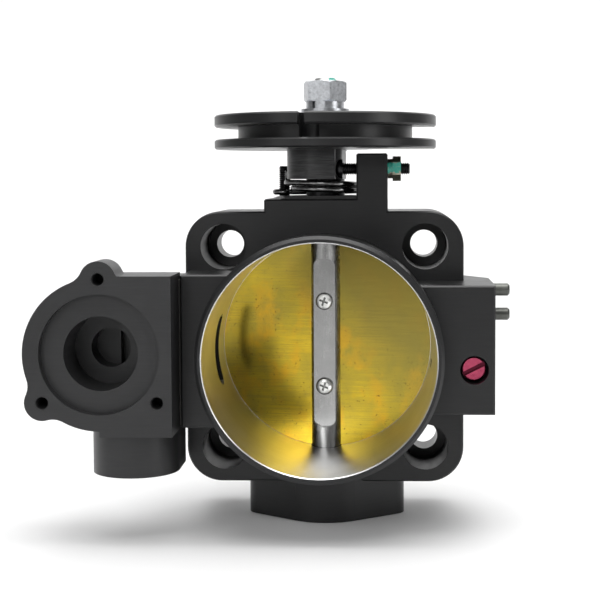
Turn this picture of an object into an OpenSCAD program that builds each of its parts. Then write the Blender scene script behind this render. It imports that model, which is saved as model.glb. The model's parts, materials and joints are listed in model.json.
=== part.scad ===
// Cable-operated throttle body with one 70 mm butterfly and a bolt-on idle-air valve housing.
// Origin: centre of the manifold bolt pattern, on the manifold face.
// +Y runs from the air inlet to the manifold, +X is right seen from the inlet, +Z up the shaft.

/* [Main body] */
// Bore diameter at the throttle plate
bore_d = 70; // [69:0.5:70.5]
// Bore diameter at the inlet rim
inlet_d = 71.6; // [71:0.2:72.4]
// Outer diameter of the inlet spigot
spigot_d = 76; // [75.5:0.5:77]
// Length from the inlet rim to the manifold face
body_len = 68; // [66:1:72]
// Width of the square flange
flange_w = 91; // [90:0.5:93]
// Height of the square flange
flange_h = 89; // [88:0.5:90]
// Thickness of the square flange
flange_t = 32.5; // [31:0.5:33]
// Corner radius of the square flange
flange_r = 11.5; // [10:0.5:13]
// Distance between neighbouring manifold bolt holes
bolt_pitch = 66; // [65:0.5:67]
// Diameter of the manifold bolt holes
bolt_d = 9.2; // [8.6:0.2:9.6]
// Diameter of the counterbores for the bolt heads
bolt_head_d = 15; // [14:0.5:15.5]
// Flange left under each bolt head
bolt_land = 12; // [10:1:14]

/* [Shaft and plate] */
// Diameter of the throttle shaft
shaft_d = 10; // [9.8:0.1:10.2]
// Distance from the shaft axis to the manifold face
shaft_back = 20; // [19.5:0.5:20.5]
// Angle of the closed plate to the square section of the bore
plate_angle = 7; // [6:0.5:8]
// Thickness of the throttle plate
plate_t = 1.5; // [1.2:0.1:1.8]
// Distance of each plate screw from the bore axis
plate_screw_z = 14.25; // [12:0.25:18]
// Outer diameter of the shaft bearings
bearing_d = 19; // [18.5:0.5:19.5]
// Width of the shaft bearings
bearing_w = 5; // [4.5:0.5:5]

/* [Cable wheel] */
// Outer diameter of the cable wheel
wheel_d = 73.7; // [72:0.1:76]
// Diameter of the bottom of the cable groove
groove_d = 58; // [56:1:62]
// Underside of the cable wheel
wheel_z = 64.9; // [64.5:0.1:65.5]
// Thickness of the lower rim
lower_rim = 3.1; // [2.6:0.1:3.4]
// Width of the cable groove
groove_w = 4.2; // [3.8:0.1:4.6]
// Thickness of the upper rim
upper_rim = 3.8; // [3.2:0.1:4]
// Width across the flats of the shaft nut
nut_af = 13; // [12:0.5:13]

/* [Return spring] */
// Wire diameter of the return spring
wire_d = 1.9; // [1.7:0.1:1.9]
// Mean radius of the coils
coil_r = 10.7; // [10.4:0.1:10.8]
// Number of coils
coil_turns = 1.64; // [1.62:0.01:1.66]

/* [Idle air] */
// X of the idle valve's axis
valve_x = -67; // [-67.5:0.1:-66]
// Z of the idle valve's axis
valve_z = 2; // [1.5:0.5:2.5]
// Diameter of the idle valve's locating recess
recess_d = 37; // [36:0.5:37.5]
// Diameter of the idle valve's bore
valve_d = 23; // [22:0.5:23.5]
// Radius from the valve axis to its fixing holes
valve_fix_r = 23; // [22.4:0.1:23.4]
// Diameter of the idle bypass screw's hole
idle_hole_d = 9; // [8.6:0.2:9.4]
// Outer diameter of the two vacuum nipples
nipple_d = 4.1; // [3.9:0.1:4.3]

/* [Hidden] */
$fn = 72;

// small chamfer on machined outer edges
edge = 0.5;
// overshoot of a cutting tool past the face that it opens
past = 1;
// clearance of a sliding or turning fit, on the radius
run_gap = 0.04;

bore_r = bore_d / 2;
spigot_r = spigot_d / 2;
shaft_r = shaft_d / 2;
shaft_y = -shaft_back;
flange_y = -flange_t;
rim_y = -body_len;
// end of the land that takes the hose and its clamp
hose_land_y = rim_y + 14;
bolt_at = bolt_pitch / 2;

// side blocks
block_y = -53;
wing_x = -44.3;
wing_z0 = -23.1;
wing_z1 = 25.3;
block_x = 54.3;
block_z0 = -18.8;
block_z1 = 21.8;

// boss, pad and tower on top; sensor boss below
boss_x0 = -19.6;
boss_x1 = 20.8;
boss_z = 48.5;
pad_z = boss_z + 1;
pad_r = 15.2;
pad_foot_r = 18.4;
tower_x = 10.6;
tower_y = -25.5;
tower_z = 63.3;
sensor_z = -57.3;
sensor_r = 17;
sensor_ear_r = 5.15;
sensor_ear_x = 20.9;
sensor_recess_r = 11;

// bearing pockets, measured from the bore axis
pocket_r = bearing_d / 2;
bearing_z = 41;
seal_t = 2.8;
lower_pocket_z = bearing_z + bearing_w + 1 + seal_t + 0.2;
ball_r = 1.3;
ball_pitch_r = (pocket_r + shaft_r) / 2;
ball_count = 11;
race_wall = 1.35;

// shaft stack above the body
sleeve_r = 6.4;
hub_z = 55;
hub_core_r = 5.8;
lug_r = 12.8;
lug_stop_x = 3.6;
stud_r = 4;
flat_half = 3.4;
groove_z = wheel_z + lower_rim;
upper_z = groove_z + groove_w;
wheel_top = upper_z + upper_rim;
washer_z = wheel_top;
split_z = washer_z + 2.2;
nut_z = split_z + 2.4;
nut_h = 6.8;
shaft_top = 88.5;
shaft_bottom = -55.2;
shaft_flat = 3.45;
open_angle = 83;

// stop screw
stop_y = -29;
stop_z = 58.3;
stop_r = 2;
stop_head_x = lug_stop_x + 0.1;
stop_head_t = 2.4;
stop_end = boss_x1 + 7.2;

// return spring anchor
anchor_x = -14.3;
anchor_y = -12;
anchor_top = 59.4;
anchor_r = 2;
anchor_depth = 8;
coil_z0 = pad_z + wire_d / 2 + 0.2;
leg_angle = 170;
leg_r = lug_r + 0.2;
leg_top = 58;

// M5 fixings: tapping size, thread, clearance hole, head and head pocket
fix_r = 2.1;
m5_r = 2.5;
m5_hole_r = 2.7;
m5_head_r = 4.2;
m5_head_h = 5;
m5_pocket_r = 4.6;
valve_fix_depth = 11;
sensor_fix_depth = 9;

// idle-air housing
housing_x1 = wing_x - 0.5;
housing_front = rim_y;
housing_step = -49;
housing_back = -33.2;
housing_r = 23.5;
housing_z1 = 25.9;
lobe_r = 5.5;
lobe_t = 12.5;
lobe_fillet = 6.5;
recess_t = 3;
valve_bottom = -49;
valve_port_r = 6.3;
valve_port_end = -40.5;
duct_y0 = -39.5;
duct_y1 = -36;
duct_half = 9;
fix_angles = [90, 220, 320];
outlet_x = -58.8;
outlet_y = -52;
outlet_r = 13.6;
outlet_bore_r = 7;
outlet_depth = 16;
// passage from the outlet up to the right wall of the valve bore
outlet_duct_r = 3.8;
outlet_duct_x = outlet_x + 2.5;
outlet_duct_y = outlet_y - 1.2;
outlet_duct_top = -1;
outlet_z = -36.7;
housing_screw_y = -40.5;
housing_screw_z = [17, -13];
// underside of each screw head
housing_seat_x = [-59, -67];
housing_screw_depth = 8;

// idle port in the left wall of the bore
port_z0 = -12;
port_z1 = 11.3;
port_y0 = -39.5;
port_y1 = -31.5;

// idle bypass screw in the right block
idle_x = 47.8;
idle_z = -4.7;
idle_head_y = -48.5;
idle_shank_r = 3;
idle_seat_y = -33;
// end of the wide part of the hole, and the front of the O-ring groove
idle_step_y = -46;
idle_groove_y = idle_step_y - 1.5;
bypass_r = 1.5;
bypass_back_y = -17;
plug_r = 2;

// vacuum nipples in the right face
nipple_y = -28;
nipple_z = [18.5, 10.5];
nipple_end = 60.7;
// radius of the end that is pressed into the block
nipple_press_r = 1.75;
nipple_press = 5.5;

// --- helpers -------------------------------------------------------------

module tube_x(x0, x1, r, y, z) {
    translate([x0, y, z]) rotate([0, 90, 0]) cylinder(r = r, h = x1 - x0);
}

module tube_y(y0, y1, r, x = 0, z = 0) {
    translate([x, y0, z]) rotate([-90, 0, 0]) cylinder(r = r, h = y1 - y0);
}

module tube_z(z0, z1, r, x = 0, y = shaft_y) {
    translate([x, y, z0]) cylinder(r = r, h = z1 - z0);
}

module cone_x(x0, x1, r0, r1, y, z) {
    translate([x0, y, z]) rotate([0, 90, 0]) cylinder(r1 = r0, r2 = r1, h = x1 - x0);
}

module block(x0, x1, y0, y1, z0, z1) {
    translate([x0, y0, z0]) cube([x1 - x0, y1 - y0, z1 - z0]);
}

// extrude an outline drawn in X and Z from y0 to y1
module extrude_y(y0, y1) {
    translate([0, y1, 0]) rotate([90, 0, 0]) linear_extrude(y1 - y0) children();
}

// extrude an outline drawn in Y and Z from x0 to x1
module extrude_x(x0, x1) {
    translate([x0, 0, 0]) rotate([90, 0, 90]) linear_extrude(x1 - x0) children();
}

// rectangle with cut corners
module cut_rect(a0, a1, b0, b1, c) {
    polygon([[a0 + c, b0], [a1 - c, b0], [a1, b0 + c], [a1, b1 - c],
        [a1 - c, b1], [a0 + c, b1], [a0, b1 - c], [a0, b0 + c]]);
}

// block with every edge chamfered
module chamfered_block(x0, x1, y0, y1, z0, z1, c = edge) {
    intersection() {
        translate([0, 0, z0]) linear_extrude(z1 - z0) cut_rect(x0, x1, y0, y1, c);
        extrude_y(y0, y1) cut_rect(x0, x1, z0, z1, c);
        extrude_x(x0, x1) cut_rect(y0, y1, z0, z1, c);
    }
}

// plate across the Y axis with round corners and chamfered front and back edges
module chamfered_plate(w, h, r, y0, y1, c = edge) {
    extrude_x(-w / 2 + r, w / 2 - r) cut_rect(y0, y1, -h / 2, h / 2, c);
    translate([0, 0, -h / 2 + r]) linear_extrude(h - 2 * r)
        cut_rect(-w / 2, w / 2, y0, y1, c);
    for (sx = [-1, 1], sz = [-1, 1])
        translate([sx * (w / 2 - r), 0, sz * (h / 2 - r)]) rotate([-90, 0, 0]) {
            translate([0, 0, y0]) cylinder(r1 = r - c, r2 = r, h = c);
            translate([0, 0, y0 + c]) cylinder(r = r, h = y1 - y0 - 2 * c);
            translate([0, 0, y1 - c]) cylinder(r1 = r, r2 = r - c, h = c);
        }
}

// concave fillet of radius rf in the corner between two discs, on one side of the line of centres
module disc_fillet(c1, r1, c2, r2, rf, side) {
    d = norm(c2 - c1);
    a = r1 + rf;
    b = r2 + rf;
    along = (a * a - b * b + d * d) / (2 * d);
    up = sqrt(a * a - along * along);
    u = (c2 - c1) / d;
    cf = c1 + along * u + side * up * [-u[1], u[0]];
    difference() {
        polygon([c1, cf, c2]);
        translate(cf) circle(r = rf);
    }
}

// one solid ring about the shaft axis
module ring_z(z0, z1, r_in, r_out) {
    translate([0, shaft_y, z0]) rotate_extrude()
        translate([r_in, 0]) square([r_out - r_in, z1 - z0]);
}

// hexagon bar about the Z axis, width across flats af
module hex_bar(af, h, turn = 0) {
    rotate([0, 0, turn]) cylinder(d = af / cos(30), h = h, $fn = 6);
}

// --- main body -----------------------------------------------------------

module spigot_skin() {
    c = 1;
    relief = 0.6;
    rotate([-90, 0, 0]) rotate_extrude()
        polygon([[0, rim_y], [spigot_r - c, rim_y], [spigot_r, rim_y + c],
            [spigot_r, hose_land_y], [spigot_r - relief, hose_land_y],
            [spigot_r - relief, flange_y + past], [0, flange_y + past]]);
}

module bore_cut() {
    taper_end = -34;
    lip = 0.3;
    inlet_r = inlet_d / 2;
    rotate([-90, 0, 0]) rotate_extrude()
        polygon([[0, rim_y - past], [inlet_r + lip + past, rim_y - past],
            [inlet_r, rim_y + lip], [bore_r, taper_end],
            [bore_r, past], [0, past]]);
}

module side_blocks() {
    chamfered_block(wing_x, -20, block_y, shaft_y, wing_z0, wing_z1);
    intersection() {
        translate([0, 0, block_z0]) linear_extrude(block_z1 - block_z0)
            polygon([[20, block_y], [block_x - edge, block_y], [block_x, block_y + edge],
                [block_x, -21], [47, -9], [44, -4], [20, -4]]);
        extrude_x(0, block_x) cut_rect(block_y, past, block_z0, block_z1, edge);
    }
}

module top_boss() {
    chamfered_block(boss_x0, boss_x1, flange_y, -3, 30, boss_z);
    chamfered_block(tower_x, boss_x1, flange_y, tower_y, 30, tower_z);
    intersection() {
        translate([0, shaft_y, boss_z]) cylinder(r1 = pad_foot_r, r2 = pad_r, h = pad_z - boss_z);
        block(boss_x0 + edge, tower_x + edge, flange_y + 1, -3 - edge, boss_z - past, pad_z + past);
    }
}

// outline of the sensor boss: a disc and two ears joined by flanks that nearly touch them
module sensor_outline() {
    a = acos((sensor_r - sensor_ear_r) / sensor_ear_x);
    proud = 0.04;
    p = (sensor_r + proud) * [cos(a), sin(a)];
    q = [sensor_ear_x, 0] + (sensor_ear_r + proud) * [cos(a), sin(a)];
    circle(r = sensor_r);
    for (s = [-1, 1]) translate([s * sensor_ear_x, 0]) circle(r = sensor_ear_r);
    polygon([p, q, [q[0], -q[1]], [p[0], -p[1]],
        [-p[0], -p[1]], [-q[0], -q[1]], [-q[0], q[1]], [-p[0], p[1]]]);
}

module sensor_boss() {
    translate([0, shaft_y, sensor_z]) linear_extrude(-sensor_z - 30) sensor_outline();
}

module bolt_holes() {
    for (sx = [-1, 1], sz = [-1, 1]) {
        tube_y(flange_y - past, past, bolt_d / 2, sx * bolt_at, sz * bolt_at);
        tube_y(block_y, -bolt_land, bolt_head_d / 2, sx * bolt_at, sz * bolt_at);
    }
}

module shaft_bores() {
    tube_z(-bearing_z - past, bearing_z + past, shaft_r + 0.3);
    tube_z(bearing_z, pad_z + past, pocket_r);
    tube_z(-lower_pocket_z - past, -bearing_z, pocket_r);
    tube_z(sensor_z - past, -lower_pocket_z, sensor_recess_r);
    for (s = [-1, 1]) tube_z(sensor_z - past, sensor_z + sensor_fix_depth, fix_r, s * sensor_ear_x);
}

// round-ended idle port through the left wall and the wing
module idle_port() {
    r = (port_y1 - port_y0) / 2;
    mid_y = (port_y0 + port_y1) / 2;
    // the gasket side is a plain rectangle, which meets the round-ended port inside the wing
    x0 = wing_x + 6;
    extrude_x(x0, -30) {
        for (z = [port_z0 + r, port_z1 - r]) translate([mid_y, z]) circle(r = r);
        translate([port_y0, port_z0 + r]) square([2 * r, port_z1 - port_z0 - 2 * r]);
    }
    block(wing_x - past, x0 + past, duct_y0, duct_y1, -duct_half + valve_z, duct_half + valve_z);
}

module idle_bypass() {
    tube_y(block_y - past, idle_step_y, idle_hole_d / 2, idle_x, idle_z);
    tube_y(idle_step_y - past, idle_seat_y, idle_shank_r + run_gap, idle_x, idle_z);
    tube_y(idle_seat_y - past, bypass_back_y, bypass_r, idle_x, idle_z);
    tube_x(bore_r - 3, idle_x, bypass_r, -36.5, idle_z);
    tube_x(bore_r - 3, block_x, bypass_r, bypass_back_y, idle_z);
    tube_x(45, block_x, plug_r, bypass_back_y, idle_z);
}

module nipple_holes() {
    for (z = nipple_z) {
        tube_x(block_x - nipple_press - 0.5, block_x + past, nipple_press_r, nipple_y, z);
        tube_x(bore_r * cos(asin(z / bore_r)) - 2, block_x - nipple_press + 0.5, 1.1, nipple_y, z);
    }
}

module main_body() {
    color([0.13, 0.13, 0.14]) difference() {
        union() {
            chamfered_plate(flange_w, flange_h, flange_r, flange_y, 0);
            spigot_skin();
            side_blocks();
            top_boss();
            sensor_boss();
        }
        bore_cut();
        bolt_holes();
        shaft_bores();
        idle_port();
        idle_bypass();
        nipple_holes();
        tube_x(tower_x - past, boss_x1 + past, stop_r + run_gap, stop_y, stop_z);
        tube_z(boss_z - anchor_depth, boss_z + past, anchor_r, anchor_x, anchor_y);
        for (z = housing_screw_z)
            tube_x(wing_x - past, wing_x + housing_screw_depth + 0.5, m5_r, housing_screw_y, z);
    }
}

// --- idle-air housing ----------------------------------------------------

// outline of the housing in X and Z, drawn about the valve axis
module housing_outline(r, top) {
    right = housing_x1 - valve_x;
    difference() {
        union() {
            circle(r = r);
            translate([0, wing_z0 - valve_z - 0.2]) square([right, top - wing_z0 + 0.2]);
        }
        translate([right, -r - past]) square(2 * (r + past));
    }
}

function fix_at(a) = valve_fix_r * [cos(a), sin(a)];

module housing_lobes() {
    for (a = [fix_angles[0], fix_angles[1]]) {
        translate(fix_at(a)) circle(r = lobe_r);
        for (side = [-1, 1]) disc_fillet([0, 0], housing_r, fix_at(a), lobe_r, lobe_fillet, side);
    }
}

module idle_housing() {
    color([0.14, 0.14, 0.15]) difference() {
        union() {
            translate([valve_x, 0, valve_z]) {
                extrude_y(housing_front, housing_front + lobe_t) housing_lobes();
                extrude_y(housing_front, housing_step) housing_outline(housing_r, housing_z1);
                extrude_y(housing_step - past, housing_back)
                    housing_outline(housing_r - 1.5, wing_z1 - 0.9);
            }
            tube_z(outlet_z, valve_z, outlet_r, outlet_x, outlet_y + 1);
            block(outlet_x - outlet_r, outlet_x + outlet_r, outlet_y + 1, -38, outlet_z, valve_z);
        }
        tube_y(housing_front - past, housing_front + recess_t, recess_d / 2, valve_x, valve_z);
        tube_y(housing_front, valve_bottom, valve_d / 2, valve_x, valve_z);
        tube_y(valve_bottom - past, valve_port_end, valve_port_r, valve_x, valve_z);
        block(valve_x + 1.5, housing_x1 + past, valve_port_end - past, duct_y1,
            valve_z - duct_half, valve_z + duct_half);
        tube_z(outlet_z - past, outlet_z + outlet_depth, outlet_bore_r, outlet_x, outlet_y);
        tube_z(outlet_z, outlet_duct_top, outlet_duct_r, outlet_duct_x, outlet_duct_y);
        for (a = fix_angles)
            tube_y(housing_front - past, housing_front + valve_fix_depth, fix_r,
                valve_x + fix_at(a)[0], valve_z + fix_at(a)[1]);
        for (i = [0, 1]) {
            tube_x(valve_x - 30, housing_seat_x[i], m5_pocket_r, housing_screw_y, housing_screw_z[i]);
            tube_x(housing_seat_x[i] - past, housing_x1 + past, m5_hole_r,
                housing_screw_y, housing_screw_z[i]);
        }
    }
}

module idle_housing_gasket() {
    color([0.2, 0.2, 0.19]) difference() {
        block(housing_x1, wing_x, block_y + 0.6, housing_back - 0.4, wing_z0 + 0.6, 23.8);
        block(housing_x1 - past, wing_x + past, duct_y0, duct_y1,
            valve_z - duct_half, valve_z + duct_half);
        for (z = housing_screw_z)
            tube_x(housing_x1 - past, wing_x + past, m5_hole_r, housing_screw_y, z);
    }
}

// socket head cap screws that hold the housing to the wing, heads in deep counterbores
module idle_housing_screws() {
    color([0.12, 0.12, 0.13]) for (i = [0, 1]) {
        x0 = housing_seat_x[i];
        z = housing_screw_z[i];
        difference() {
            union() {
                tube_x(x0 - m5_head_h, x0, m5_head_r, housing_screw_y, z);
                tube_x(x0 - past, wing_x + housing_screw_depth, m5_r, housing_screw_y, z);
            }
            translate([x0 - m5_head_h - past, housing_screw_y, z]) rotate([0, 90, 0])
                hex_bar(4, past + 2.6);
        }
    }
}

// --- throttle shaft and plate --------------------------------------------

// place children in the turned frame of the closed plate, whose X runs across the bore
module closed_frame() {
    translate([0, shaft_y, 0]) rotate([0, 0, -plate_angle]) children();
}

// outline of the milled flat: the cutter leaves its radius in the corners
module milled_flat(z0, z1) {
    // half the width of a flat at this distance from the shaft axis, and its corner radius
    half = sqrt(shaft_r * shaft_r - shaft_flat * shaft_flat) + 0.1;
    r = 3;
    translate([-half, z0 + r]) square([2 * half, z1 - z0 - 2 * r]);
    translate([-half + r, z0]) square([2 * (half - r), z1 - z0]);
    for (x = [-half + r, half - r], z = [z0 + r, z1 - r]) translate([x, z]) circle(r = r);
}

module throttle_shaft() {
    plate_slot = plate_t + 0.04;
    flat_z0 = -28;
    flat_z1 = 28.6;
    color([0.72, 0.72, 0.72]) difference() {
        union() {
            tube_z(shaft_bottom, hub_z, shaft_r);
            closed_frame() intersection() {
                translate([0, 0, hub_z - past]) cylinder(r = stud_r - 0.04, h = wheel_top - hub_z);
                block(-flat_half, flat_half, -shaft_r, shaft_r, hub_z - past, wheel_top);
            }
            tube_z(wheel_top - past - 0.2, shaft_top - 0.8, stud_r);
            translate([0, shaft_y, shaft_top - 0.8]) cylinder(r1 = stud_r, r2 = stud_r - 0.8, h = 0.8);
        }
        closed_frame() {
            block(-shaft_r - past, shaft_r + past, -plate_slot / 2, plate_slot / 2,
                -bore_r, bore_r);
            extrude_y(-shaft_r - past, -shaft_flat) milled_flat(flat_z0, flat_z1);
            for (s = [-1, 1])
                translate([0, shaft_r + past, s * plate_screw_z]) rotate([90, 0, 0])
                    cylinder(r = 1.5 + 0.02, h = 2 * shaft_r + 2 * past);
            for (s = [-1, 1])
                block(s > 0 ? flat_half : -shaft_r - past, s > 0 ? shaft_r + past : -flat_half,
                    -shaft_r, shaft_r, shaft_bottom - past, shaft_bottom + 5);
        }
        // groove for the retaining ring
        ring_z(-bearing_z - bearing_w - 1, -bearing_z - bearing_w, shaft_r - 0.6, shaft_r + past);
    }
}

// disc that just fills the bore when it stands at the closed angle
module throttle_plate() {
    gap = 0.1;
    color([0.78, 0.62, 0.2]) difference() {
        intersection() {
            tube_y(shaft_y - 12, shaft_y + 12, bore_r - gap);
            closed_frame() block(-bore_r - 2, bore_r + 2, -plate_t / 2, plate_t / 2, -bore_r, bore_r);
        }
        closed_frame() for (s = [-1, 1])
            translate([0, past, s * plate_screw_z]) rotate([90, 0, 0])
                cylinder(r = 1.5 + 0.02, h = 2 * past);
    }
}

// two cross-recessed pan head screws that clamp the plate in the shaft
module plate_screws() {
    head_r = 2.85;
    head_h = 1.5;
    recess_w = 0.7;
    color([0.8, 0.8, 0.8]) closed_frame() for (s = [-1, 1])
        translate([0, 0, s * plate_screw_z]) difference() {
            union() {
                rotate([-90, 0, 0]) translate([0, 0, -shaft_flat]) cylinder(r = 1.5, h = shaft_flat + 4.4);
                rotate([-90, 0, 0]) rotate_extrude()
                    polygon([[0, -shaft_flat - head_h], [1.6, -shaft_flat - head_h],
                        [2.4, -shaft_flat - head_h + 0.35], [head_r, -shaft_flat - 0.6],
                        [head_r, -shaft_flat], [0, -shaft_flat]]);
            }
            for (t = [0, 90]) rotate([0, t + 20, 0])
                block(-1.5, 1.5, -shaft_flat - head_h - past, -shaft_flat - head_h + 1.1,
                    -recess_w / 2, recess_w / 2);
        }
}

// --- bearings, seals and retaining ring ----------------------------------

module ball_track(z_mid) {
    translate([0, shaft_y, z_mid]) rotate_extrude()
        translate([ball_pitch_r, 0]) circle(r = ball_r + run_gap);
}

module outer_race(z0) {
    color([0.7, 0.71, 0.72]) difference() {
        ring_z(z0, z0 + bearing_w, pocket_r - race_wall, pocket_r);
        ball_track(z0 + bearing_w / 2);
    }
}

module inner_race(z0) {
    color([0.7, 0.71, 0.72]) difference() {
        ring_z(z0, z0 + bearing_w, shaft_r, shaft_r + race_wall);
        ball_track(z0 + bearing_w / 2);
    }
}

module bearing_balls(z0) {
    color([0.8, 0.8, 0.82]) translate([0, shaft_y, z0 + bearing_w / 2])
        for (i = [0 : ball_count - 1])
            rotate([0, 0, i * 360 / ball_count]) translate([ball_pitch_r, 0, 0]) sphere(r = ball_r);
}

module upper_bearing_outer_race() outer_race(bearing_z);
module upper_bearing_inner_race() inner_race(bearing_z);
module upper_bearing_balls() bearing_balls(bearing_z);
module lower_bearing_outer_race() outer_race(-bearing_z - bearing_w);
module lower_bearing_inner_race() inner_race(-bearing_z - bearing_w);
module lower_bearing_balls() bearing_balls(-bearing_z - bearing_w);

// lip seal: an outer case and a thin lip that runs on the shaft or sleeve
module lip_seal(z0, lip_r) {
    color([0.1, 0.1, 0.1]) translate([0, shaft_y, z0]) rotate_extrude()
        polygon([[lip_r, 0], [pocket_r, 0], [pocket_r, seal_t], [pocket_r - 1, seal_t],
            [pocket_r - 1, 1], [lip_r + 0.6, 1], [lip_r + 0.6, 1.8], [lip_r, 1.8]]);
}

module upper_shaft_seal() lip_seal(bearing_z + bearing_w + 0.3, sleeve_r + run_gap);
module lower_shaft_seal() lip_seal(-lower_pocket_z, shaft_r + run_gap);

// open retaining ring that holds the shaft down against the lower bearing
module shaft_retaining_ring() {
    z0 = -bearing_z - bearing_w - 0.95;
    color([0.25, 0.25, 0.26]) difference() {
        ring_z(z0, z0 + 0.9, shaft_r - 0.55, shaft_r + 2);
        block(-2.4, 2.4, shaft_y, shaft_y + shaft_r + 3, z0 - past, z0 + 1 + past);
    }
}

// --- return spring -------------------------------------------------------

module spring_sleeve() {
    color([0.6, 0.6, 0.6]) ring_z(bearing_z + bearing_w, hub_z, shaft_r, sleeve_r);
}

module spring_anchor_stud() {
    color([0.08, 0.08, 0.08]) {
        tube_z(boss_z - anchor_depth, anchor_top - 0.5, anchor_r, anchor_x, anchor_y);
        translate([anchor_x, anchor_y, anchor_top - 0.5])
            cylinder(r1 = anchor_r, r2 = anchor_r - 0.5, h = 0.5);
    }
}

function unit(v) = v / norm(v);

// the wire winds clockwise as it rises, from a hook about the anchor stud to an upright leg;
// all angles are about the shaft axis, apart from the hook's
anchor_from_axis = [anchor_x, anchor_y - shaft_y];
hook_r = anchor_r + wire_d / 2 + 0.25;
hook_free = 290;
anchor_bearing = atan2(-anchor_from_axis[1], -anchor_from_axis[0]);
coil_start = anchor_bearing + acos((hook_r - coil_r) / norm(anchor_from_axis));
coil_end = coil_start - 360 * coil_turns;
coil_pitch = wire_d + 0.05;
coil_top = coil_z0 + coil_pitch * coil_turns;
hook_steps = 9;
coil_steps = 38;
out_steps = 5;
bend_steps = 3;
bend_r = 1.8;

function polar(r, a, z) = [r * cos(a), r * sin(a), z];

hook_points = [for (i = [0 : hook_steps])
    let (a = hook_free + i * (coil_start - hook_free) / hook_steps)
    [anchor_from_axis[0], anchor_from_axis[1], 0] + polar(hook_r, a, coil_z0)];
coil_points = [for (i = [0 : coil_steps])
    polar(coil_r, coil_start - i * 360 * coil_turns / coil_steps,
        coil_z0 + (coil_top - coil_z0) * i / coil_steps)];
out_points = [for (i = [1 : out_steps]) let (t = i / out_steps)
    polar(coil_r + (leg_r - coil_r) * t * t * (3 - 2 * t),
        coil_end + (leg_angle + 8 - 720 - coil_end) * t, coil_top)];
bend_points = [for (i = [1 : bend_steps]) let (a = 90 * i / bend_steps)
    polar(leg_r, leg_angle + 8 * (1 - sin(a)), coil_top + bend_r * (1 - cos(a)))];
leg_points = [polar(leg_r, leg_angle, coil_top + bend_r + 1.2),
    polar(leg_r, leg_angle, leg_top)];

function seg_tangent(p, i) = unit(p[min(i + 1, len(p) - 1)] - p[max(i - 1, 0)]);

// closed tube of diameter d swept along the points p
module swept_wire(p, d, sides = 8) {
    n = len(p);
    frames = [for (i = 0, u = unit(cross(seg_tangent(p, 0), [0, 0.02, 1])); i < n;
        i = i + 1, u = unit(u - (u * seg_tangent(p, min(i, n - 1))) * seg_tangent(p, min(i, n - 1))))
        [u, cross(seg_tangent(p, i), u)]];
    rings = [for (i = [0 : n - 1], k = [0 : sides - 1]) let (a = 360 * k / sides)
        p[i] + d / 2 * (cos(a) * frames[i][0] + sin(a) * frames[i][1])];
    faces = concat(
        [[for (k = [0 : sides - 1]) k]],
        [for (i = [0 : n - 2], k = [0 : sides - 1]) let (j = (k + 1) % sides)
            [i * sides + k, (i + 1) * sides + k, (i + 1) * sides + j, i * sides + j]],
        [[for (k = [sides - 1 : -1 : 0]) (n - 1) * sides + k]]);
    polyhedron(points = rings, faces = faces, convexity = 6);
}

module return_spring() {
    color([0.22, 0.22, 0.23]) translate([0, shaft_y, 0])
        swept_wire(concat(hook_points, coil_points, out_points, bend_points, leg_points), wire_d);
}

// --- cable wheel and its fastening ---------------------------------------

// groove and rims of the wheel, as a profile of radius and height
module wheel_profile() {
    r = wheel_d / 2;
    g = groove_d / 2;
    c = edge;
    polygon([[0, wheel_z], [r - c, wheel_z], [r, wheel_z + c], [r, groove_z - c], [r - c, groove_z],
        [g, groove_z], [g, upper_z], [r - c, upper_z], [r, upper_z + c], [r, wheel_top - c],
        [r - c, wheel_top], [0, wheel_top]]);
}

// the hub's stop lug: a disc cut away between its closed face and its open face
module stop_lug() {
    reach = 20;
    open_face = [cos(open_angle), sin(open_angle)];
    open_side = [-sin(open_angle), cos(open_angle)];
    gap = shaft_y - tower_y - 0.35;
    foot = -gap * open_side;
    difference() {
        circle(r = lug_r);
        polygon([[lug_stop_x, -reach], [lug_stop_x, foot[1]], foot, foot + reach * open_face,
            [reach, reach], [reach, -reach]]);
        // notch that takes the upright leg of the return spring
        rotate([0, 0, leg_angle]) translate([leg_r, 0]) circle(r = wire_d / 2 + 0.1);
    }
    circle(r = hub_core_r);
}

module cable_wheel() {
    slot_x0 = -6.9;
    slot_x1 = -4.7;
    barrel_x = -3.4;
    barrel_y = -27.2;
    barrel_r = 3.4;
    sector_r = lug_r + 3;
    far = 50;
    color([0.1, 0.1, 0.11]) translate([0, shaft_y, 0]) difference() {
        union() {
            rotate_extrude() wheel_profile();
            translate([0, 0, hub_z]) linear_extrude(wheel_z - hub_z + past) stop_lug();
        }
        // cable slot and the pocket of the cable's barrel end
        block(slot_x0, slot_x1, -far, barrel_y, groove_z, wheel_top + past);
        translate([barrel_x, barrel_y, groove_z]) cylinder(r = barrel_r, h = far);
        // open sector behind the cable run
        translate([0, 0, wheel_z - past]) linear_extrude(wheel_top - wheel_z + 2 * past) difference() {
            polygon([[6, 3], [far, 3], [far, far], [6, far]]);
            circle(r = sector_r);
        }
        // double-D shaft hole
        rotate([0, 0, -plate_angle]) intersection() {
            translate([0, 0, hub_z - past]) cylinder(r = stud_r + 0.02, h = far);
            block(-flat_half - 0.02, flat_half + 0.02, -far, far, hub_z - past, wheel_top + past);
        }
        translate([0, 0, wheel_top - past - 0.4]) cylinder(r = stud_r + 0.08, h = far);
    }
}

module wheel_washer() {
    color([0.75, 0.76, 0.77]) ring_z(washer_z, split_z, stud_r + 0.2, 8);
}

module split_washer() {
    color([0.7, 0.71, 0.72]) difference() {
        ring_z(split_z, nut_z, stud_r + 0.15, 6.35);
        translate([0, shaft_y, split_z - past]) rotate([0, 0, 236])
            block(0, 10, -0.5, 0.5, 0, 2.4 + 2 * past);
    }
}

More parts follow.
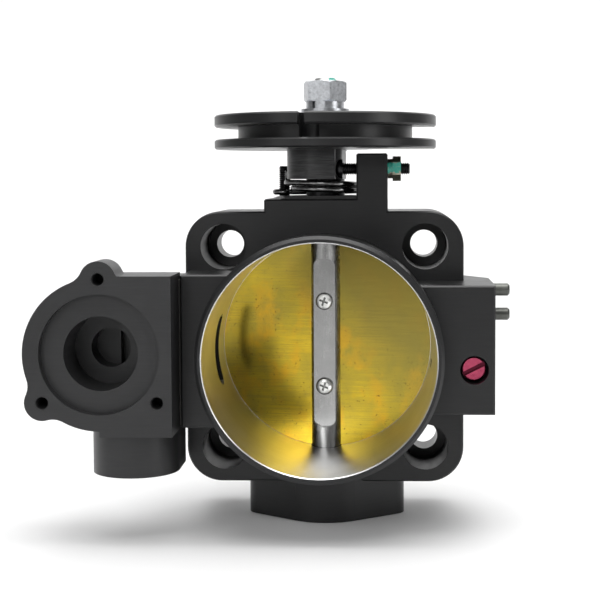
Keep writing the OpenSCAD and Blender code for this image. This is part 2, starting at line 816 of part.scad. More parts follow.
module shaft_nut() {
    corner = nut_af / 2 / cos(30);
    c = 1;
    color([0.8, 0.81, 0.82]) translate([0, shaft_y, nut_z]) difference() {
        intersection() {
            hex_bar(nut_af, nut_h, -15.8);
            rotate_extrude() polygon([[0, 0], [corner - c, 0], [corner, c * 0.6],
                [corner, nut_h - c * 0.6], [corner - c, nut_h], [0, nut_h]]);
        }
        translate([0, 0, -past]) cylinder(r = stud_r + 0.01, h = nut_h + 2 * past);
    }
}

// --- stop screw ----------------------------------------------------------

module stop_screw() {
    x1 = stop_head_x + stop_head_t;
    color([0.1, 0.1, 0.1]) {
        tube_x(x1 - 0.2, stop_end - 0.4, stop_r, stop_y, stop_z);
        cone_x(stop_end - 0.4, stop_end, stop_r, stop_r - 0.4, stop_y, stop_z);
        translate([0, stop_y, stop_z]) rotate([0, 90, 0]) rotate_extrude()
            polygon([[0, stop_head_x], [1.4, stop_head_x], [2.5, stop_head_x + 0.5],
                [3.1, stop_head_x + 1.3], [3.2, x1], [0, x1]]);
    }
}

module stop_lock_nut() {
    collar = 1.6;
    thick = 4.3;
    color([0.7, 0.66, 0.45]) difference() {
        union() {
            tube_x(boss_x1, boss_x1 + collar + 0.1, 3.2, stop_y, stop_z);
            translate([boss_x1 + collar, stop_y, stop_z]) rotate([0, 90, 0])
                hex_bar(7, thick - collar);
        }
        tube_x(boss_x1 - past, boss_x1 + thick + past, stop_r + run_gap, stop_y, stop_z);
    }
}

// --- idle bypass screw ---------------------------------------------------

module idle_screw() {
    head_r = 3.8;
    slot_w = 1.4;
    color([0.72, 0.1, 0.36]) translate([idle_x, 0, idle_z]) difference() {
        rotate([-90, 0, 0]) rotate_extrude()
            polygon([[0, idle_head_y - 0.9], [head_r - 0.4, idle_head_y - 0.9],
                [head_r, idle_head_y - 0.5], [head_r, idle_groove_y - 0.4], [2.6, idle_groove_y - 0.4],
                [2.6, idle_step_y - 0.1], [idle_shank_r, idle_step_y - 0.1],
                [idle_shank_r, idle_seat_y - 4],
                [0.5, idle_seat_y + 1.4], [0, idle_seat_y + 1.4]]);
        rotate([0, -27, 0])
            block(-5, 5, idle_head_y - 2, idle_head_y + 0.5, -slot_w / 2, slot_w / 2);
    }
}

module idle_screw_oring() {
    color([0.06, 0.06, 0.06]) translate([idle_x, idle_groove_y + 0.5, idle_z])
        rotate([-90, 0, 0]) rotate_extrude() translate([3.53, 0]) circle(r = 0.8);
}

// --- vacuum nipples and passage plug -------------------------------------

module vacuum_nipple(z) {
    c = 0.6;
    color([0.42, 0.43, 0.42]) difference() {
        union() {
            tube_x(block_x - nipple_press, block_x + 0.2, nipple_press_r, nipple_y, z);
            tube_x(block_x, nipple_end - c, nipple_d / 2, nipple_y, z);
            cone_x(nipple_end - c, nipple_end, nipple_d / 2, nipple_d / 2 - c, nipple_y, z);
        }
        tube_x(block_x - nipple_press - past, nipple_end + past, 1.2, nipple_y, z);
    }
}

module upper_vacuum_nipple() vacuum_nipple(nipple_z[0]);
module lower_vacuum_nipple() vacuum_nipple(nipple_z[1]);

module passage_plug() {
    color([0.6, 0.6, 0.6]) difference() {
        tube_x(45.2, 50, plug_r, bypass_back_y, idle_z);
        translate([48, bypass_back_y, idle_z]) rotate([0, 90, 0]) hex_bar(2, 3);
    }
}

main_body();
idle_housing();
idle_housing_gasket();
idle_housing_screws();
throttle_shaft();
throttle_plate();
plate_screws();
upper_bearing_outer_race();
upper_bearing_inner_race();
upper_bearing_balls();
lower_bearing_outer_race();
lower_bearing_inner_race();
lower_bearing_balls();
upper_shaft_seal();
lower_shaft_seal();
shaft_retaining_ring();
spring_sleeve();
return_spring();
spring_anchor_stud();
cable_wheel();
wheel_washer();
split_washer();
shaft_nut();
stop_screw();
stop_lock_nut();
idle_screw();
idle_screw_oring();
upper_vacuum_nipple();
lower_vacuum_nipple();
passage_plug();
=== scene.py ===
import json
import math

import bmesh
import bpy
from mathutils import Matrix, Vector


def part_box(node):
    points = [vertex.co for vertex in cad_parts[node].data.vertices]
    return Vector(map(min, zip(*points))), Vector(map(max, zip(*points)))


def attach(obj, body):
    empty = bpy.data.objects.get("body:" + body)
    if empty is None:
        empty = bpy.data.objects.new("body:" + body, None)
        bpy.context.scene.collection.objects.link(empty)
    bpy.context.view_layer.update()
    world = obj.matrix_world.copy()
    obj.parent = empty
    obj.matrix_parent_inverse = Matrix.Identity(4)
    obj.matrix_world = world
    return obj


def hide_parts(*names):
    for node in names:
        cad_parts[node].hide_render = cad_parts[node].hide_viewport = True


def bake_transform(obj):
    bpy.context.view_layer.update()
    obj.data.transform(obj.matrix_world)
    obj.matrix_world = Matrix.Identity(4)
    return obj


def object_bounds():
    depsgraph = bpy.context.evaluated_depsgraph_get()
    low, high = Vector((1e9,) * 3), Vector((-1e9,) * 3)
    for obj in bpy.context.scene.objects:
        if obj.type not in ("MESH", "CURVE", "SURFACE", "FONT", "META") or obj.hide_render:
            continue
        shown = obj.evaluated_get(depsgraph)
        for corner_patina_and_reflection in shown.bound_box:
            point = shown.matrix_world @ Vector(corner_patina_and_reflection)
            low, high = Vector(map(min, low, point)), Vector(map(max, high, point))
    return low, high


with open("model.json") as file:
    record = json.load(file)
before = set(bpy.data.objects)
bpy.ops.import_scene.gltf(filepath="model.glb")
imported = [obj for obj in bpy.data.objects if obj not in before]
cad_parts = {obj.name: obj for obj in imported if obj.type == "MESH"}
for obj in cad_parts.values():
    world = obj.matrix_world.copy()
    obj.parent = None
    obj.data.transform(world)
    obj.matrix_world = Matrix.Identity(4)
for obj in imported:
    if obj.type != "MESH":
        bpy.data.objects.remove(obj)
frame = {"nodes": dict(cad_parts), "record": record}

MM = 0.001
X, Y, Z = Vector((1, 0, 0)), Vector((0, 1, 0)), Vector((0, 0, 1))
# the throttle shaft's axis, and the M4 and M8 threads, in mm
SHAFT_Y = -20
M4_R, M4_PITCH, M4_DEPTH = 1.98, 0.7, 0.38
M8_R, M8_PITCH, M8_DEPTH = 3.96, 1.25, 0.62
cad_lo, cad_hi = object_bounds()
nodes = frame["nodes"]


# --- camera ----------------------------------------------------------------

def make_camera():
    """A perspective fit: a little right of the bore axis and a little above it."""
    yaw, pitch, roll = (math.radians(a) for a in (2.12, 3.52, -0.23))
    ahead = Vector((-math.sin(yaw) * math.cos(pitch), math.cos(yaw) * math.cos(pitch), -math.sin(pitch)))
    side = Vector((math.cos(yaw), math.sin(yaw), 0))
    up = side.cross(ahead)
    right = side * math.cos(roll) + up * math.sin(roll)
    up = up * math.cos(roll) - side * math.sin(roll)
    data = bpy.data.cameras.new("camera")
    data.sensor_width = 36
    data.lens = 81.24
    data.shift_x, data.shift_y = -0.066, -0.068
    data.clip_start, data.clip_end = 0.01, 20
    cam = bpy.data.objects.new("camera", data)
    turn = Matrix((right, up, -ahead)).transposed().to_4x4()
    cam.matrix_world = Matrix.Translation(Vector((21.39, -473.4, 55.99)) * MM) @ turn
    bpy.context.scene.collection.objects.link(cam)
    bpy.context.scene.camera = cam


# --- materials -------------------------------------------------------------

class Mat:
    """A Principled material built node by node."""

    def __init__(self, name, **sockets):
        self.mat = bpy.data.materials.new(name)
        self.mat.use_nodes = True
        self.tree = self.mat.node_tree
        self.bsdf = next(n for n in self.tree.nodes if n.type == "BSDF_PRINCIPLED")
        for key, value in sockets.items():
            self.bsdf.inputs[key.replace("_", " ")].default_value = value

    def node(self, kind, sockets=None, **props):
        n = self.tree.nodes.new("ShaderNode" + kind)
        for key, value in props.items():
            setattr(n, key, value)
        for key, value in (sockets or {}).items():
            if isinstance(value, bpy.types.NodeSocket):
                self.tree.links.new(value, n.inputs[key])
            else:
                n.inputs[key].default_value = value
        return n

    def place(self, scale, origin=(0, 0, 0)):
        """Object coordinates in millimetres from origin, each axis multiplied by its scale."""
        if not hasattr(self, "coord"):
            self.coord = self.node("TexCoord").outputs["Object"]
        offset = tuple(c * MM for c in origin)
        moved = self.node("VectorMath", {0: self.coord, 1: offset}, operation="SUBTRACT").outputs[0]
        per_metre = tuple(s / MM for s in scale)
        return self.node("Mapping", {"Vector": moved, "Scale": per_metre}, vector_type="POINT").outputs[0]

    def along(self, axis):
        """The coordinate along X (0), Y (1) or Z (2), in millimetres."""
        return self.node("SeparateXYZ", {0: self.place((1, 1, 1))}).outputs[axis]

    def noise(self, where, detail=3, rough=0.5):
        sockets = {"Vector": where, "Scale": 1.0, "Detail": detail, "Roughness": rough}
        return self.node("TexNoise", sockets).outputs["Fac"]

    def ramp(self, value, *stops):
        r = self.node("ValToRGB", {"Fac": value})
        while len(r.color_ramp.elements) < len(stops):
            r.color_ramp.elements.new(0.5)
        for e, (at, colour) in zip(r.color_ramp.elements, stops):
            e.position = at
            e.color = (*colour, 1) if isinstance(colour, tuple) else (colour, colour, colour, 1)
        return r.outputs["Color"]

    def fit(self, value, lo, hi, a=0.0, b=1.0):
        return self.node("MapRange", {"Value": value, "From Min": lo, "From Max": hi,
                                      "To Min": a, "To Max": b}).outputs["Result"]

    def math(self, kind, a, b=0.0):
        return self.node("Math", {0: a, 1: b}, operation=kind).outputs[0]

    def mix(self, fac, a, b):
        m = self.node("Mix", data_type="RGBA")
        for i, value in ((0, fac), (6, a), (7, b)):
            if isinstance(value, bpy.types.NodeSocket):
                self.tree.links.new(value, m.inputs[i])
            else:
                m.inputs[i].default_value = (*value, 1) if isinstance(value, tuple) else value
        return m.outputs[2]

    def to(self, socket, value):
        self.tree.links.new(value, self.bsdf.inputs[socket])

    def bump(self, height, strength=0.3, depth=0.02, under=None):
        sockets = {"Height": height, "Strength": strength, "Distance": depth * MM}
        if under is not None:
            sockets["Normal"] = under
        return self.node("Bump", sockets).outputs["Normal"]


def anodised(name, dark, light, rough, lathe_axis=None, lighter_below=None):
    """Satin black anodised aluminium: tool marks and faint mottling, and a lighter streaked tone below a
    height.
    """
    m = Mat(name, Metallic=0.0)
    m.bsdf.inputs["Specular IOR Level"].default_value = 0.4
    cloud = m.noise(m.place((0.05, 0.05, 0.04)), 3, 0.55)
    grain = m.noise(m.place((0.12, 0.12, 1.8)), 4, 0.7)
    speck = m.noise(m.place((9, 9, 9)), 2, 0.6)
    tone = m.mix(0.5, cloud, grain)
    base = m.ramp(tone, (0.3, dark), (0.7, light))
    # below the given height the tone turns lighter and streaked
    if lighter_below is not None:
        fade = 2
        base = m.mix(m.fit(m.along(2), lighter_below, lighter_below - fade, 0.0, 1.0), base,
                     m.ramp(grain, (0.35, (0.022, 0.022, 0.0225)), (0.65, (0.065, 0.065, 0.066))))
    m.to("Base Color", base)
    m.to("Roughness", m.fit(m.mix(0.5, cloud, speck), 0.3, 0.7, rough - 0.06, rough + 0.07))
    if lathe_axis is None:
        m.to("Normal", m.bump(speck, 0.1, 0.01, m.bump(grain, 0.14, 0.012)))
    else:
        rings = m.noise(m.place(lathe_axis), 2, 0.6)
        m.to("Normal", m.bump(speck, 0.08, 0.01, m.bump(rings, 0.22, 0.014)))
    return m.mat


def metal(name, dark, light, rough, brush=(0.15, 0.15, 0.15), depth=0.012, spread=0.1, mottle=0.2,
          face=None):
    """Bare or plated metal. brush gives the grain's waves a millimetre along X, Y and Z, and face names
    a screw whose recess and flanks get painted shade, darkening behind its front face."""
    m = Mat(name, Metallic=1.0)
    cloud = m.noise(m.place((mottle, mottle, mottle)), 4, 0.6)
    grain = m.noise(m.place(brush), 3, 0.6)
    base = m.ramp(m.mix(0.4, cloud, grain), (0.3, dark), (0.7, light))
    if face:
        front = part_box(face)[0].y / MM
        shallow, deep, cover = 0.3, 0.8, 0.85
        recess_shade = tuple(c * 0.12 for c in dark)
        # painted shade: the screw's recess and the flanks of its head darken from 0.3 to 0.8 mm behind its
        # front face
        base = m.mix(m.fit(m.along(1), front + shallow, front + deep, 0.0, cover), base, recess_shade)
    m.to("Base Color", base)
    m.to("Roughness", m.fit(m.mix(0.5, cloud, grain), 0.3, 0.7, rough - spread / 2, rough + spread / 2))
    m.to("Normal", m.bump(grain, 0.25, depth))
    return m.mat


def brass():
    """Rolled brass sheet: fine brushing across, golden and olive patches, orange bloom and dark specks."""
    m = Mat("brass", Metallic=1.0)
    flow = m.noise(m.place((0.045, 0.045, 0.04), origin=(11, 0, 4)), 3, 0.55)
    streak = m.noise(m.place((0.07, 0.07, 2.2)), 4, 0.7)
    fine = m.noise(m.place((0.1, 0.1, 4.5)), 2, 0.6)
    base = m.ramp(flow, (0.36, (0.33, 0.26, 0.040)), (0.5, (0.53, 0.385, 0.034)),
                  (0.64, (0.70, 0.48, 0.035)))
    base = m.mix(m.fit(streak, 0.42, 0.62, 0.0, 0.5), base, (0.33, 0.26, 0.05))
    bloom = m.noise(m.place((0.11, 0.11, 0.08), origin=(3, 0, 20)), 4, 0.6)
    base = m.mix(m.fit(bloom, 0.50, 0.66, 0.0, 0.7), base, (0.66, 0.36, 0.025))
    stain = m.noise(m.place((0.2, 0.2, 0.16)), 5, 0.65)
    base = m.mix(m.fit(stain, 0.57, 0.72, 0.0, 0.4), base, (0.26, 0.21, 0.05))
    speck = m.noise(m.place((1.1, 1.1, 1.1)), 2, 0.6)
    base = m.mix(m.fit(speck, 0.66, 0.71, 0.0, 0.75), base, (0.10, 0.06, 0.02))
    # darker towards the upper right and at the left edge: partly the brass's patina, partly a painted
    # reflection of the dark surroundings
    uneven = m.fit(flow, 0.3, 0.7, -9, 9)
    corner_patina_and_reflection = m.fit(m.math("ADD", m.math("ADD", m.along(0), m.along(2)), uneven), -4, 26, 0.0, 0.85)
    left_edge_patina_and_reflection = m.fit(m.along(0), -24, -33, 0.0, 0.35)
    base = m.mix(m.math("MAXIMUM", corner_patina_and_reflection, left_edge_patina_and_reflection), base, (0.23, 0.19, 0.05))
    m.to("Base Color", base)
    m.to("Roughness", m.fit(m.mix(0.5, flow, streak), 0.3, 0.7, 0.15, 0.25))
    m.to("Normal", m.bump(fine, 0.16, 0.008, m.bump(streak, 0.2, 0.014)))
    return m.mat


def painted(under, name, low, high, colour):
    """A metal with a brushed dab of paint between two corners; None leaves that side open."""
    m = Mat(name, Metallic=0.0)
    sep = m.node("SeparateXYZ", {0: m.place((1, 1, 1))})
    wob = m.fit(m.noise(m.place((1.4, 1.4, 1.4)), 3, 0.6), 0.3, 0.7, -0.5, 0.5)
    inside = None
    for i in range(3):
        for limit, kind in ((low[i], "GREATER_THAN"), (high[i], "LESS_THAN")):
            if limit is None:
                continue
            edge = m.math("ADD", sep.outputs[i], wob)
            test = m.math(kind, edge, limit)
            inside = test if inside is None else m.math("MULTIPLY", inside, test)
    thin = m.noise(m.place((2.4, 2.4, 2.4)), 3, 0.6)
    cover = m.math("MULTIPLY", inside, m.fit(thin, 0.32, 0.45, 0.35, 1.0))
    grain = m.noise(m.place((0.5, 0.5, 0.5)), 4, 0.6)
    m.to("Base Color", m.mix(cover, m.ramp(grain, *under), colour))
    m.to("Metallic", m.fit(cover, 0, 1, 1, 0))
    m.to("Roughness", m.fit(thin, 0.3, 0.7, 0.32, 0.48))
    m.to("Normal", m.bump(thin, 0.25, 0.04))
    return m.mat


def soft(name, dark, light, rough, pitch=2.0):
    """Rubber, or gasket fibre."""
    m = Mat(name, Metallic=0.0)
    g = m.noise(m.place((pitch, pitch, pitch)), 4, 0.65)
    m.to("Base Color", m.ramp(g, (0.3, dark), (0.7, light)))
    m.to("Roughness", m.fit(g, 0.3, 0.7, rough - 0.08, rough + 0.08))
    m.to("Normal", m.bump(g, 0.3, 0.03))
    return m.mat


black = anodised("anodised_black", (0.006, 0.006, 0.0065), (0.013, 0.013, 0.0135), 0.36)
black_housing = anodised("anodised_housing", (0.014, 0.014, 0.0145), (0.025, 0.025, 0.026), 0.40)
black_wheel = anodised("anodised_wheel", (0.007, 0.007, 0.0075), (0.015, 0.015, 0.0155),
                       0.33, (0.3, 0.3, 3), 64.0)
bore_metal = metal("bore_aluminium", (0.70, 0.70, 0.71), (0.88, 0.88, 0.88),
                   0.31, (0.02, 6, 0.02), 0.05, 0.06, 0.06)
steel = metal("shaft_steel", (0.27, 0.27, 0.266), (0.42, 0.42, 0.415), 0.25, (7, 7, 0.12), 0.012, 0.12)
screw_metal = metal("screw_steel", (0.72, 0.73, 0.70), (0.90, 0.90, 0.87),
                    0.24, (1.5, 1.5, 1.5), 0.008, 0.12, 0.8,
                    "plate_screws")
zinc = metal("zinc_plate", (0.38, 0.39, 0.41), (0.74, 0.76, 0.79),
             0.33, (1.2, 1.2, 1.2), 0.005, 0.16, 0.9)
race_steel = metal("bearing_steel", (0.52, 0.53, 0.54), (0.70, 0.71, 0.72), 0.2, (0.3, 0.3, 6))
spring_metal = metal("spring_steel", (0.10, 0.10, 0.10), (0.30, 0.30, 0.30),
                     0.2, (1.0, 1.0, 2.5), 0.02, 0.12, 0.5)
oxide = metal("black_oxide", (0.018, 0.018, 0.019), (0.06, 0.06, 0.062),
              0.3, (1.5, 1.5, 1.5), 0.015, 0.14, 0.8)
tube_metal = metal("grey_tube", (0.085, 0.088, 0.08), (0.16, 0.163, 0.152),
                   0.42, (0.25, 5, 5), 0.02, 0.16, 0.5)
plug_metal = metal("plug_aluminium", (0.36, 0.36, 0.37), (0.52, 0.52, 0.53), 0.36, (2, 2, 2))
magenta = metal("magenta_anodised", (0.34, 0.045, 0.095), (0.56, 0.095, 0.17),
                0.3, (0.6, 3, 0.6), 0.015, 0.12, 0.5,
                "idle_screw")
rubber = soft("seal_rubber", (0.012, 0.012, 0.012), (0.028, 0.028, 0.028), 0.62)
gasket = soft("gasket_fibre", (0.018, 0.017, 0.016), (0.045, 0.043, 0.04), 0.82, 3.0)
TEAL = (0.035, 0.36, 0.28)
nut_metal = painted(((0.3, (0.30, 0.29, 0.23)), (0.7, (0.50, 0.48, 0.38))), "lock_nut_zinc",
                    (None, None, 57.0), (None, None, 60.3), TEAL)
shaft_metal = painted(((0.3, (0.50, 0.51, 0.50)), (0.7, (0.72, 0.73, 0.72))), "shaft_end_zinc",
                      (1.4, None, 87.4), (None, None, None), TEAL)

FINISH = {
    "main_body": black, "idle_housing": black_housing, "idle_housing_gasket": gasket,
    "idle_housing_screws": oxide, "throttle_shaft": steel, "throttle_plate": brass(),
    "plate_screws": screw_metal, "upper_bearing_outer_race": race_steel,
    "upper_bearing_inner_race": race_steel, "upper_bearing_balls": race_steel,
    "lower_bearing_outer_race": race_steel, "lower_bearing_inner_race": race_steel,
    "lower_bearing_balls": race_steel, "upper_shaft_seal": rubber, "lower_shaft_seal": rubber,
    "shaft_retaining_ring": oxide, "spring_sleeve": oxide, "return_spring": spring_metal,
    "spring_anchor_stud": oxide, "cable_wheel": black_wheel, "wheel_washer": zinc,
    "split_washer": zinc, "shaft_nut": zinc, "stop_screw": oxide, "stop_lock_nut": nut_metal,
    "idle_screw": magenta, "idle_screw_oring": rubber, "upper_vacuum_nipple": tube_metal,
    "lower_vacuum_nipple": tube_metal, "passage_plug": plug_metal,
}


def finish_nodes():
    """Each CAD node's material. The bore was machined after anodising, so its wall and lip are bare."""
    for name, obj in nodes.items():
        obj.data.materials.clear()
        obj.data.materials.append(FINISH[name])
    body = nodes["main_body"].data
    body.materials.append(bore_metal)
    wall_in, wall_out, front, back, facing = 34.6 * MM, 36.9 * MM, -68.5 * MM, 0.5 * MM, -0.2
    for p in body.polygons:
        c = p.center
        r = math.hypot(c.x, c.z)
        inward = p.normal.x * c.x + p.normal.z * c.z < facing * r
        if inward and wall_in < r < wall_out and front < c.y < back:
            p.material_index = 1


# --- detailed pieces -------------------------------------------------------

def new_piece(name, bm, material, smooth=True):
    mesh = bpy.data.meshes.new(name)
    bmesh.ops.recalc_face_normals(bm, faces=bm.faces)
    bm.to_mesh(mesh)
    bm.free()
    for p in mesh.polygons:
        p.use_smooth = smooth
    obj = bpy.data.objects.new(name, mesh)
    obj.data.materials.append(material)
    bpy.context.scene.collection.objects.link(obj)
    return obj


def grid(bm, rings):
    """Skins rings of points, each of the same number, and closes both ends."""
    rows = [[bm.verts.new(p) for p in ring] for ring in rings]
    n = len(rows[0])
    for a, b in zip(rows, rows[1:]):
        for k in range(n):
            bm.faces.new((a[k], a[(k + 1) % n], b[(k + 1) % n], b[k]))
    bm.faces.new(rows[0][::-1])
    bm.faces.new(rows[-1])


def rod(origin, axis, u, v, stations, pitch, depth, sides=48):
    """A round bar along axis. stations are (distance, radius, threaded) in mm, and the thread runs
    between two threaded stations."""
    crest_flat, flanks, steps_a_turn = 0.12, 0.76, 8
    top = max(r for _, r, cut in stations if cut)
    bm = bmesh.new()
    rings = []
    for (a0, r0, t0), (a1, r1, t1) in zip(stations, stations[1:]):
        cut = t0 and t1
        steps = max(1, math.ceil((a1 - a0) / (pitch / steps_a_turn))) if cut else 1
        last = (a1, r1, t1) == stations[-1]
        for i in range(steps + last):
            f = i / steps
            a, r = a0 + (a1 - a0) * f, r0 + (r1 - r0) * f
            ring = []
            for k in range(sides):
                t = 2 * math.pi * k / sides
                rr = r
                if cut:
                    phase = (a / pitch - k / sides) % 1.0
                    tooth = 1 - min(1.0, max(0.0, abs(phase - 0.5) * 2 - crest_flat) / flanks)
                    rr = min(r, top - depth * (1 - tooth))
                ring.append((origin + axis * a + (u * math.cos(t) + v * math.sin(t)) * rr) * MM)
            rings.append(ring)
    grid(bm, rings)
    return bm


def screws_and_studs():
    """The stop screw, with a domed head, and the spring's anchor stud."""
    lo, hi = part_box("stop_screw")
    mid = (lo + hi) / 2 / MM
    start = Vector((lo.x / MM, mid.y, mid.z))
    far = hi.x / MM - lo.x / MM
    dome = [(0.0, 0.35, False), (0.04, 1.1, False), (0.22, 1.85, False), (0.55, 2.5, False),
            (1.0, 2.92, False), (1.5, 3.14, False), (1.9, 3.2, False), (2.25, 3.16, False),
            (2.4, 3.0, False), (2.45, 1.8, False)]
    shank = [(2.6, M4_R, True), (far - 0.5, M4_R, True), (far, 1.5, True)]
    bm = rod(start, X, Y, Z, dome + shank, M4_PITCH, M4_DEPTH)
    screw = new_piece("stop_screw_threaded", bm, oxide)
    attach(screw, "stop_screw")
    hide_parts("stop_screw")

    lo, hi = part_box("spring_anchor_stud")
    mid = (lo + hi) / 2 / MM
    start = Vector((mid.x, mid.y, lo.z / MM))
    far = (hi.z - lo.z) / MM
    pressed_in = 8.2
    bm = rod(start, Z, X, Y, [(0, M4_R, False), (pressed_in, M4_R, False), (pressed_in + 0.2, M4_R, True),
                              (far - 0.5, M4_R, True), (far, 1.5, True)], M4_PITCH, M4_DEPTH)
    stud = new_piece("spring_anchor_stud_threaded", bm, oxide)
    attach(stud, "root")
    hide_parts("spring_anchor_stud")


def tapped_holes():
    """Threads inside the idle valve's three fixing holes, standing in from the drilled wall."""
    wall, crest, pitch, turns = 2.08, 1.74, 0.8, 10
    mouth_at, lead_at, lead_in = 0.04, 0.40, 0.4
    sides, steps_a_turn = 32, 8

    def radius(turn, k):
        tooth = abs(((turn - k / sides) % 1.0) * 2 - 1)
        return crest + (wall - crest) * tooth * min(1, turn - lead_in)

    rings = [(mouth_at, [wall] * sides), (lead_at, [crest] * sides)]
    for i in range(steps_a_turn // 2, turns * steps_a_turn):
        turn = i / steps_a_turn
        rings.append((turn * pitch, [radius(turn, k) for k in range(sides)]))
    rings += [(turns * pitch, [crest] * sides), (turns * pitch, [wall] * sides)]
    angles = [2 * math.pi * k / sides for k in range(sides)]
    for mount in frame["record"]["mounts"]:
        if not mount["name"].startswith("idle_valve_hole"):
            continue
        mouth = Vector(mount["pos_m"]) / MM
        bm = bmesh.new()
        rows = [[bm.verts.new((mouth + Y * a + (X * math.cos(t) + Z * math.sin(t)) * r) * MM)
                 for t, r in zip(angles, radii)] for a, radii in rings]
        for a, b in zip(rows, rows[1:] + rows[:1]):
            for k in range(sides):
                bm.faces.new((a[k], a[(k + 1) % sides], b[(k + 1) % sides], b[k]))
        thread = new_piece(mount["name"] + "_thread", bm, black_housing)
        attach(thread, "root")


def shaft_with_thread():
    """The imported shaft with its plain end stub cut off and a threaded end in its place."""
    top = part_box("throttle_shaft")[1].z / MM
    cut, sunk = 80.0, 0.4
    bm = bmesh.new()
    bm.from_mesh(nodes["throttle_shaft"].data)
    bmesh.ops.remove_doubles(bm, verts=bm.verts, dist=1e-6)
    geom = bm.verts[:] + bm.edges[:] + bm.faces[:]
    made = bmesh.ops.bisect_plane(bm, geom=geom, plane_co=(0, 0, cut * MM), plane_no=(0, 0, 1),
                                  clear_outer=True)
    bmesh.ops.holes_fill(bm, edges=[e for e in made["geom_cut"] if isinstance(e, bmesh.types.BMEdge)])
    shaft = new_piece("throttle_shaft_body", bm, steel, smooth=False)
    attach(shaft, "throttle")
    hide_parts("throttle_shaft")
    start = Vector((0, SHAFT_Y, cut - sunk))
    far = top - cut + sunk
    stations = [(0, M8_R, True), (far - 0.9, M8_R, True), (far, 3.1, True)]
    bm = rod(start, Z, X, Y, stations, M8_PITCH, M8_DEPTH, sides=64)
    end = new_piece("throttle_shaft_thread", bm, shaft_metal)
    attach(end, "throttle")


def polar(r, a, z):
    """The point at radius r, a degrees round and z up."""
    a = math.radians(a)
    return Vector((r * math.cos(a), r * math.sin(a), z))


def spring_path():
    """The return spring's centre line about the shaft axis, in mm: hook, coils, sweep out, bend, leg."""
    wire, coil_r, turns, pad = 1.9, 10.7, 1.64, 49.5
    anchor = Vector((-14.3, 8.0, 0))
    hook_r, hook_free = 2.0 + wire / 2 + 0.25, 290
    leg_angle, leg_r, leg_top, bend, lean = 170, 13.0, 58.0, 1.8, 8
    z0 = pad + wire / 2 + 0.2
    bearing = math.degrees(math.atan2(-anchor.y, -anchor.x))
    start = bearing + math.degrees(math.acos((hook_r - coil_r) / anchor.length))
    stop = start - 360 * turns
    top = z0 + (wire + 0.05) * turns
    points = [anchor + polar(hook_r, hook_free + i * (start - hook_free) / 24, z0) for i in range(25)]
    points += [polar(coil_r, start - i * 360 * turns / 120, z0 + (top - z0) * i / 120) for i in range(1, 121)]
    for i in range(1, 17):
        t = i / 16
        points.append(polar(coil_r + (leg_r - coil_r) * t * t * (3 - 2 * t),
                            stop + (leg_angle + lean - 720 - stop) * t, top))
    for i in range(1, 9):
        a = math.radians(90 * i / 8)
        points.append(polar(leg_r, leg_angle + lean * (1 - math.sin(a)), top + bend * (1 - math.cos(a))))
    points += [polar(leg_r, leg_angle, top + bend + s * (leg_top - top - bend) / 5) for s in range(1, 6)]
    return points, wire / 2


def spring():
    """The return spring's wire, from its hook on the stud through the coils to its leg."""
    sides, end_scale = 20, 0.86
    points, r = spring_path()
    axis = Vector((0, SHAFT_Y, 0))
    bm = bmesh.new()
    rings = []
    side = None
    for i, p in enumerate(points):
        t = (points[min(i + 1, len(points) - 1)] - points[max(i - 1, 0)]).normalized()
        side = Z.cross(t).normalized() if side is None else (side - t * side.dot(t)).normalized()
        up = t.cross(side)
        end = min(i, len(points) - 1 - i)
        rr = r * (end_scale if end == 0 else 1.0)
        rings.append([(axis + p + (side * math.cos(a) + up * math.sin(a)) * rr) * MM
                      for a in (2 * math.pi * k / sides for k in range(sides))])
    grid(bm, rings)
    wire = new_piece("return_spring_wire", bm, spring_metal)
    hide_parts("return_spring")
    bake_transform(wire)


# --- stage -----------------------------------------------------------------

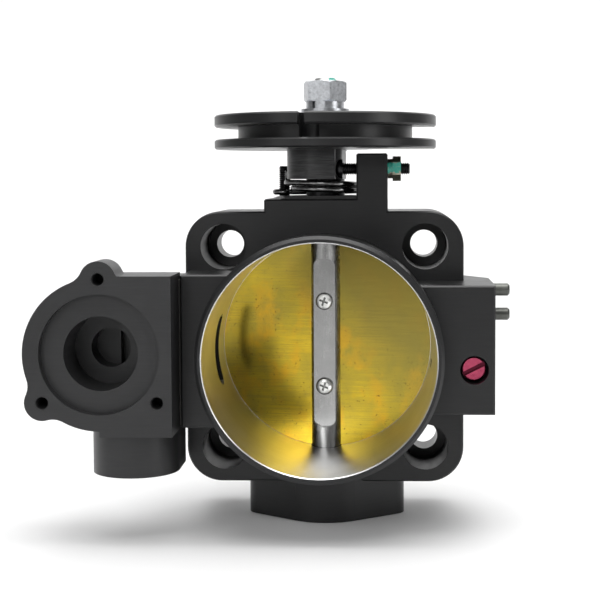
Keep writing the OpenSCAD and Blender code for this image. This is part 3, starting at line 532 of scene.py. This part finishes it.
def make_stage():
    """A pale floor that curves up into a backdrop, in metres."""
    ground = cad_lo.z - 0.0002
    near, foot, bend, wall_top, half_width, steps = -1.6, 0.55, 0.5, 2.2, 2.5, 24
    bm = bmesh.new()
    profile = [(near, 0.0), (foot, 0.0)]
    profile += [(foot + bend * math.sin(a), bend - bend * math.cos(a))
                for a in (math.pi / 2 * i / steps for i in range(1, steps + 1))]
    profile.append((foot + bend, wall_top))
    rows = [[bm.verts.new((x, y, ground + z)) for y, z in profile] for x in (-half_width, half_width)]
    for i in range(len(profile) - 1):
        bm.faces.new((rows[0][i], rows[1][i], rows[1][i + 1], rows[0][i + 1]))
    m = Mat("backdrop", Roughness=0.9)
    m.to("Base Color", m.ramp(m.noise(m.place((0.01, 0.01, 0.01))), (0.3, 0.86), (0.7, 0.88)))
    floor = new_piece("floor", bm, m.mat)


def area_light(name, at, aim, size, power, tall=None):
    data = bpy.data.lights.new(name, "AREA")
    data.energy = power
    data.size = size
    if tall:
        data.shape = "RECTANGLE"
        data.size_y = tall
    lamp = bpy.data.objects.new(name, data)
    lamp.location = at
    lamp.rotation_euler = (Vector(aim) - Vector(at)).to_track_quat("-Z", "Y").to_euler()
    bpy.context.scene.collection.objects.link(lamp)


def make_lights():
    """A dim sky, five soft boxes about the object, and one that lights the backdrop."""
    world = bpy.data.worlds.new("studio")
    bpy.context.scene.world = world
    world.use_nodes = True
    tree = world.node_tree
    coord = tree.nodes.new("ShaderNodeTexCoord")
    split = tree.nodes.new("ShaderNodeSeparateXYZ")
    ramp = tree.nodes.new("ShaderNodeValToRGB")
    tree.links.new(coord.outputs["Generated"], split.inputs[0])
    tree.links.new(split.outputs[2], ramp.inputs["Fac"])
    sky = ((0.12, 0.14), (0.4, 0.30), (0.7, 0.15))
    while len(ramp.color_ramp.elements) < len(sky):
        ramp.color_ramp.elements.new(0.5)
    for element, (at, tone) in zip(ramp.color_ramp.elements, sky):
        element.position = at
        element.color = (tone, tone, tone, 1)
    background = tree.nodes["Background"]
    tree.links.new(ramp.outputs["Color"], background.inputs["Color"])
    background.inputs["Strength"].default_value = 1.0
    area_light("key", (-0.6, -0.85, 0.75), (0, -0.02, 0.01), 0.5, 1.6)
    area_light("front", (-0.25, -1.0, 0.45), (0, -0.02, 0), 0.4, 2.4)
    area_light("overhead", (0.05, -0.25, 0.95), (0, -0.02, 0), 0.7, 5)
    area_light("fill", (0.85, -0.45, 0.25), (0, -0.02, 0), 0.35, 2.4, 0.8)
    area_light("low_left", (-1.0, -1.1, 0.12), (0, -0.02, 0), 0.5, 0.9, 0.5)
    area_light("backdrop", (0, 0.35, 1.3), (0, 1.0, 0.15), 1.4, 16)


make_camera()
finish_nodes()
screws_and_studs()
tapped_holes()
shaft_with_thread()
spring()
make_stage()
make_lights()
bpy.context.scene.view_settings.view_transform = "Standard"
